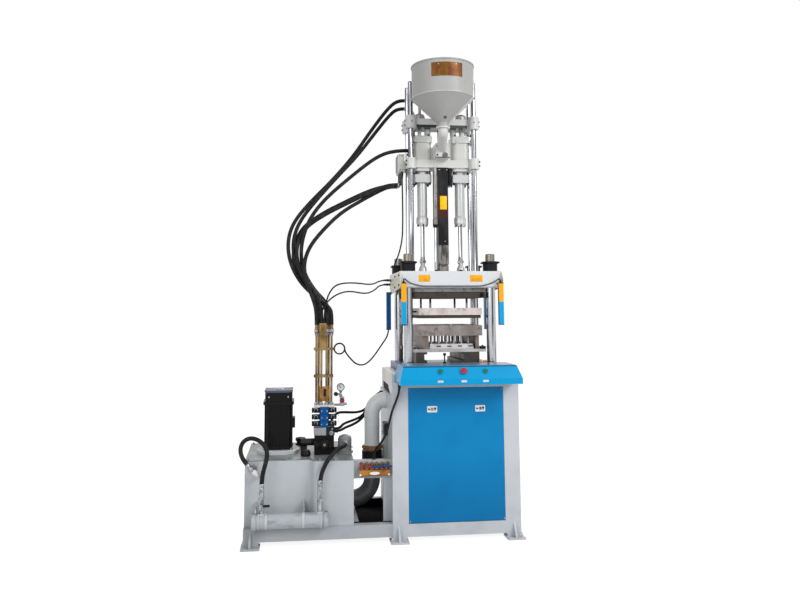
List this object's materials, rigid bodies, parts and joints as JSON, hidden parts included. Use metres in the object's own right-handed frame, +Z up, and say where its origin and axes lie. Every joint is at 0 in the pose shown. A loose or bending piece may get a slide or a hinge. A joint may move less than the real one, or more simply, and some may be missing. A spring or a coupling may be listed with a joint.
{
  "type": "vertical rubber injection moulding machine",
  "caption": "Four-column upward-clamping press with a vertical injection unit and hopper on top, an operator console in front and a hydraulic power unit at its left side.",
  "frame": {"origin": "middle of the footprint on the floor, at the bottom centre of the whole machine with its power unit", "axes": "+Z up, +X to the operator's right, -Y towards the operator, so the console faces -Y and the power unit stands at -X"},
  "size_m": [1.7224, 0.915, 2.97],
  "materials": {
    "base_frame": "semi-gloss enamel",
    "skid_frame": "semi-gloss enamel",
    "bed_block": "semi-gloss enamel",
    "clamp_cylinder": "semi-gloss enamel",
    "tie_bars": "turned, ring nuts blackened",
    "head_platen": "semi-gloss enamel",
    "light_curtains": "gloss",
    "guide_bars": "polished",
    "shift_rods": "polished",
    "upper_plate": "ground",
    "console": "gloss enamel",
    "oil_tank": "semi-gloss enamel",
    "pump_motor": "semi-gloss",
    "oil_cooler": "semi-gloss enamel",
    "valve_stack": "machined and painted",
    "hard_tubes": "zinc plated",
    "suction_duct": "semi-gloss enamel",
    "water_manifold": "machined",
    "carriage_casting": "semi-gloss enamel",
    "shift_cylinders": "semi-gloss enamel",
    "barrel": "ground",
    "barrel_cover": "semi-gloss",
    "feed_chute": "semi-gloss enamel",
    "hopper": "semi-gloss enamel",
    "junction_box": "semi-gloss enamel",
    "riser_pipes": "plain",
    "crosshead": "semi-gloss enamel",
    "injection_rods": "polished",
    "screw_motor": "semi-gloss",
    "moving_platen": "semi-gloss enamel",
    "ram": "ground",
    "bolster": "ground",
    "lower_plate": "ground",
    "ejector_set": "ground",
    "middle_plate": "heat tinted",
    "start_button_left": "glossy green",
    "start_button_right": "glossy green",
    "stop_button": "glossy red",
    "front_panel": "gloss enamel",
    "panel_lock_left": "polished",
    "panel_lock_right": "polished",
    "cooler_lever": "dipped black",
    "relief_knob": "glossy red",
    "valve_lever_1": "dipped lever",
    "valve_lever_2": "dipped lever",
    "valve_lever_3": "dipped lever",
    "valve_lever_4": "dipped lever",
    "valve_lever_5": "dipped lever",
    "valve_lever_6": "dipped lever",
    "hose_a1": "satin",
    "hose_a2": "satin",
    "hose_b": "satin",
    "carriage_hoses": "satin",
    "cooler_hose_left": "satin",
    "cooler_hose_right": "satin",
    "head_cable_upper": "satin",
    "head_cable_lower": "satin",
    "curtain_cable": "satin",
    "power_cable": "satin",
    "column_cable": "satin"
  },
  "bodies": {
    "frame": {"base_frame": "base_frame", "skid_frame": "skid_frame", "bed_block": "bed_block", "clamp_cylinder": "clamp_cylinder", "tie_bars": "tie_bars", "head_platen": "head_platen", "light_curtains": "light_curtains", "guide_bars": "guide_bars", "shift_rods": "shift_rods", "upper_plate": "upper_plate", "console": "console", "oil_tank": "oil_tank", "pump_motor": "pump_motor", "oil_cooler": "oil_cooler", "valve_stack": "valve_stack", "hard_tubes": "hard_tubes", "suction_duct": "suction_duct", "water_manifold": "water_manifold", "hose_a1": "hose_a1", "hose_a2": "hose_a2", "hose_b": "hose_b", "carriage_hoses": "carriage_hoses", "cooler_hose_left": "cooler_hose_left", "cooler_hose_right": "cooler_hose_right", "head_cable_upper": "head_cable_upper", "head_cable_lower": "head_cable_lower", "curtain_cable": "curtain_cable", "power_cable": "power_cable", "column_cable": "column_cable"},
    "injection_carriage": {"carriage_casting": "carriage_casting", "shift_cylinders": "shift_cylinders", "barrel": "barrel", "barrel_cover": "barrel_cover", "feed_chute": "feed_chute", "hopper": "hopper", "junction_box": "junction_box", "riser_pipes": "riser_pipes"},
    "injection_crosshead": {"crosshead": "crosshead", "injection_rods": "injection_rods", "screw_motor": "screw_motor"},
    "clamp_table": {"moving_platen": "moving_platen", "ram": "ram", "bolster": "bolster", "lower_plate": "lower_plate"},
    "ejector": {"ejector_set": "ejector_set"},
    "floating_plate": {"middle_plate": "middle_plate"},
    "start_button_left": {"start_button_left": "start_button_left"},
    "stop_button": {"stop_button": "stop_button"},
    "start_button_right": {"start_button_right": "start_button_right"},
    "front_panel": {"front_panel": "front_panel"},
    "panel_lock_left": {"panel_lock_left": "panel_lock_left"},
    "panel_lock_right": {"panel_lock_right": "panel_lock_right"},
    "cooler_lever": {"cooler_lever": "cooler_lever"},
    "relief_knob": {"relief_knob": "relief_knob"},
    "valve_lever_1": {"valve_lever_1": "valve_lever_1"},
    "valve_lever_2": {"valve_lever_2": "valve_lever_2"},
    "valve_lever_3": {"valve_lever_3": "valve_lever_3"},
    "valve_lever_4": {"valve_lever_4": "valve_lever_4"},
    "valve_lever_5": {"valve_lever_5": "valve_lever_5"},
    "valve_lever_6": {"valve_lever_6": "valve_lever_6"}
  },
  "joints": [
    {"name": "clamp_slide", "type": "slide", "parent": "frame", "child": "clamp_table", "axis": [0, 0, 1], "range_m": [0, 0.0447]},
    {"name": "ejector_slide", "type": "slide", "parent": "clamp_table", "child": "ejector", "axis": [0, 0, 1], "range_m": [0, 0.025]},
    {"name": "floating_plate_slide", "type": "slide", "parent": "frame", "child": "floating_plate", "axis": [0, 0, 1], "range_m": [0, 0.0637]},
    {"name": "carriage_slide", "type": "slide", "parent": "frame", "child": "injection_carriage", "axis": [0, 0, 1], "range_m": [0, 0.12], "deforming": ["hose_a1", "hose_a2", "hose_b", "carriage_hoses", "column_cable"]},
    {"name": "crosshead_slide", "type": "slide", "parent": "injection_carriage", "child": "injection_crosshead", "axis": [0, 0, 1], "range_m": [0, 0.12]},
    {"name": "start_button_left_press", "type": "slide", "parent": "frame", "child": "start_button_left", "axis": [0, 0.877, -0.4805], "range_m": [0, 0.005], "stiffness_N_per_m": 800, "springref_m": -0.001},
    {"name": "stop_button_press", "type": "slide", "parent": "frame", "child": "stop_button", "axis": [0, 0.877, -0.4805], "range_m": [0, 0.005], "stiffness_N_per_m": 800, "springref_m": -0.001},
    {"name": "start_button_right_press", "type": "slide", "parent": "frame", "child": "start_button_right", "axis": [0, 0.877, -0.4805], "range_m": [0, 0.005], "stiffness_N_per_m": 800, "springref_m": -0.001},
    {"name": "front_panel_tilt", "type": "hinge", "parent": "frame", "child": "front_panel", "pos_m": [0.44, -0.2655, 0.113], "axis": [1, 0, 0], "range_deg": [0, 60]},
    {"name": "panel_lock_left_turn", "type": "hinge", "parent": "front_panel", "child": "panel_lock_left", "pos_m": [0.29, -0.2725, 0.778], "axis": [0, 1, 0], "range_deg": [0, 90]},
    {"name": "panel_lock_right_turn", "type": "hinge", "parent": "front_panel", "child": "panel_lock_right", "pos_m": [0.59, -0.2725, 0.778], "axis": [0, 1, 0], "range_deg": [0, 90]},
    {"name": "valve_lever_1_turn", "type": "hinge", "parent": "frame", "child": "valve_lever_1", "pos_m": [-0.13942, -0.2553, 0.442], "axis": [0, -1, 0], "range_deg": [-90, 0]},
    {"name": "valve_lever_2_turn", "type": "hinge", "parent": "frame", "child": "valve_lever_2", "pos_m": [-0.10825, -0.2553, 0.442], "axis": [0, -1, 0], "range_deg": [0, 90]},
    {"name": "valve_lever_3_turn", "type": "hinge", "parent": "frame", "child": "valve_lever_3", "pos_m": [-0.07708, -0.2553, 0.442], "axis": [0, -1, 0], "range_deg": [0, 90]},
    {"name": "valve_lever_4_turn", "type": "hinge", "parent": "frame", "child": "valve_lever_4", "pos_m": [-0.04592, -0.2553, 0.442], "axis": [0, -1, 0], "range_deg": [0, 90]},
    {"name": "valve_lever_5_turn", "type": "hinge", "parent": "frame", "child": "valve_lever_5", "pos_m": [-0.01475, -0.2553, 0.442], "axis": [0, -1, 0], "range_deg": [0, 90]},
    {"name": "valve_lever_6_turn", "type": "hinge", "parent": "frame", "child": "valve_lever_6", "pos_m": [0.01642, -0.2553, 0.442], "axis": [0, -1, 0], "range_deg": [0, 90]},
    {"name": "cooler_lever_turn", "type": "hinge", "parent": "frame", "child": "cooler_lever", "pos_m": [-0.731, -0.3458, 0.257], "axis": [0, -1, 0], "range_deg": [0, 90]},
    {"name": "relief_knob_turn", "type": "hinge", "parent": "frame", "child": "relief_knob", "pos_m": [-0.248, -0.0675, 0.816], "axis": [0, 1, 0], "range_deg": [0, 270]}
  ]
}
